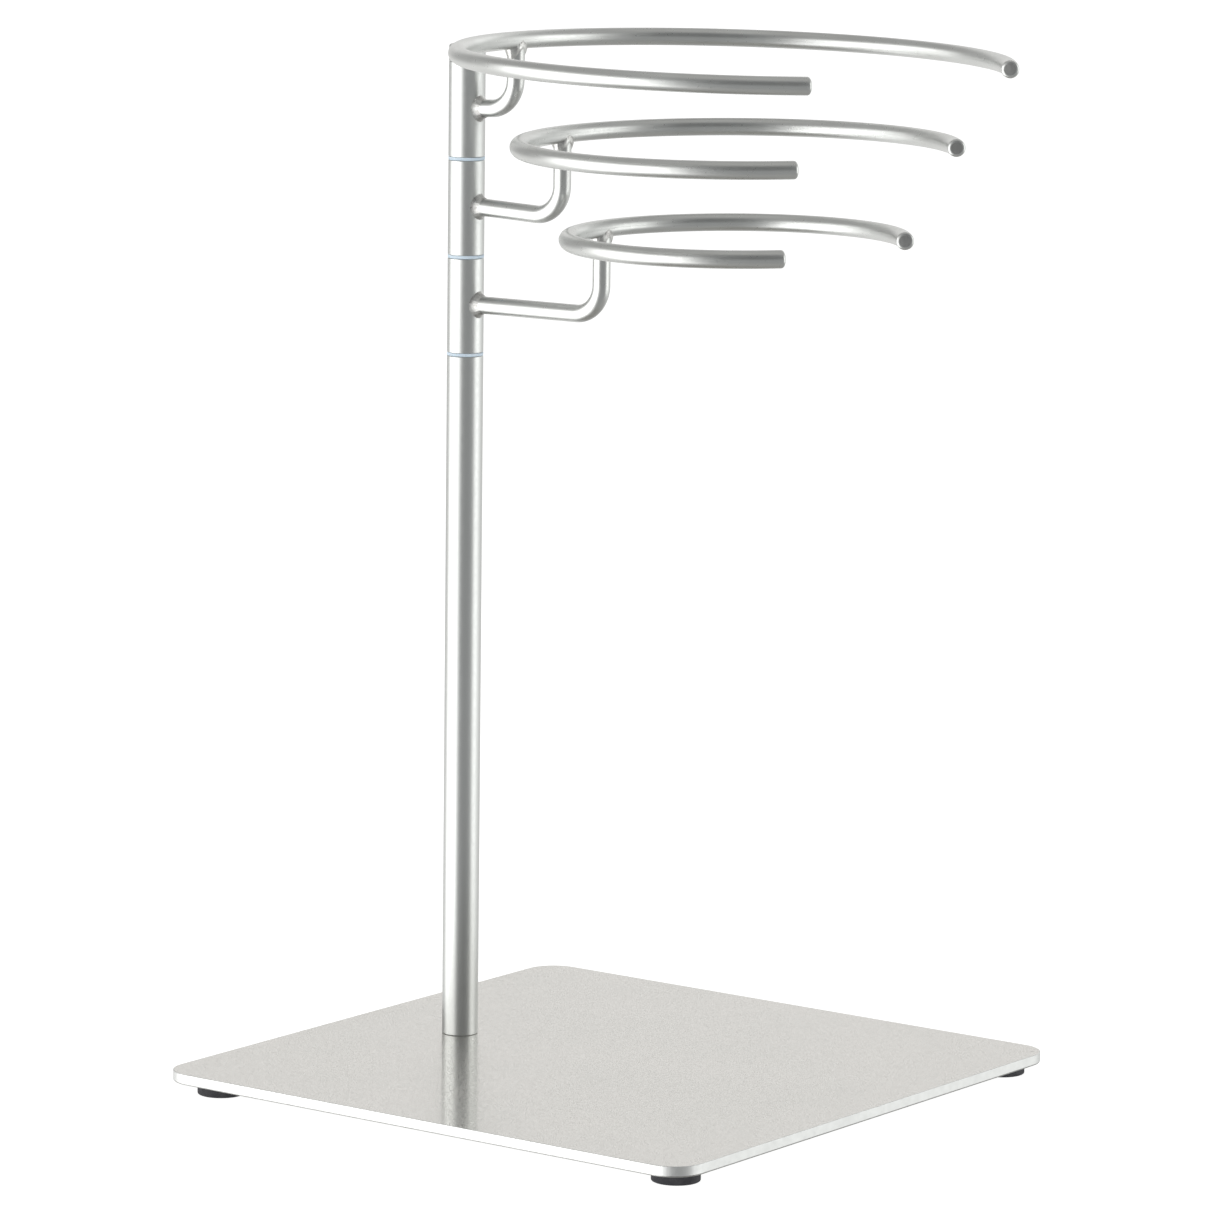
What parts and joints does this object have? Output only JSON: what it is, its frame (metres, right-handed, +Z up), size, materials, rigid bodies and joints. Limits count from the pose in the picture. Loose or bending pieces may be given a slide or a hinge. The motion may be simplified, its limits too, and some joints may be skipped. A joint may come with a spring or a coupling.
{
  "type": "ring holder stand",
  "caption": "Tabletop stand: square plate on rubber feet, round post near its back edge, stacked swivel collars with bent arms that hold open rings of decreasing size.",
  "frame": {"origin": "on the floor, under the middle of the whole outline of the stand with its rings at rest", "axes": "+Z up along the post, +X towards the open side of the rings, +Y to the left when looking along +X"},
  "size_m": [0.2251, 0.21, 0.3423],
  "materials": {
    "satin_steel": "satin, fine grain",
    "plate_steel": "satin, smooth",
    "hardware_steel": "plain zinc plated",
    "nylon": "translucent, smooth",
    "rubber": "matte black"
  },
  "bodies": {
    "stand": {"base_plate": "plate_steel", "foot_front_right": "rubber", "foot_front_left": "rubber", "foot_back_right": "rubber", "foot_back_left": "rubber", "base_screw": "hardware_steel", "post_foot_plug": "hardware_steel", "post_tube": "satin_steel", "post_head_plug": "hardware_steel", "spindle": "hardware_steel", "top_washer": "satin_steel", "end_cap": "satin_steel"},
    "bottom_swivel": {"bottom_lower_bush": "nylon", "bottom_collar": "satin_steel", "bottom_upper_bush": "nylon", "bottom_arm": "satin_steel", "bottom_collar_weld": "satin_steel", "bottom_ring_weld": "satin_steel", "bottom_ring": "satin_steel"},
    "middle_swivel": {"middle_lower_bush": "nylon", "middle_collar": "satin_steel", "middle_upper_bush": "nylon", "middle_arm": "satin_steel", "middle_collar_weld": "satin_steel", "middle_ring_weld": "satin_steel", "middle_ring": "satin_steel"},
    "top_swivel": {"top_lower_bush": "nylon", "top_collar": "satin_steel", "top_upper_bush": "nylon", "top_arm": "satin_steel", "top_collar_weld": "satin_steel", "top_ring_weld": "satin_steel", "top_ring": "satin_steel"}
  },
  "joints": [
    {"name": "bottom_swivel_turn", "type": "hinge", "parent": "stand", "child": "bottom_swivel", "pos_m": [-0.0703, 0, 0.25175], "axis": [0, 0, 1], "continuous": true},
    {"name": "middle_swivel_turn", "type": "hinge", "parent": "stand", "child": "middle_swivel", "pos_m": [-0.0703, 0, 0.28395], "axis": [0, 0, 1], "continuous": true},
    {"name": "top_swivel_turn", "type": "hinge", "parent": "stand", "child": "top_swivel", "pos_m": [-0.0703, 0, 0.31615], "axis": [0, 0, 1], "continuous": true}
  ]
}
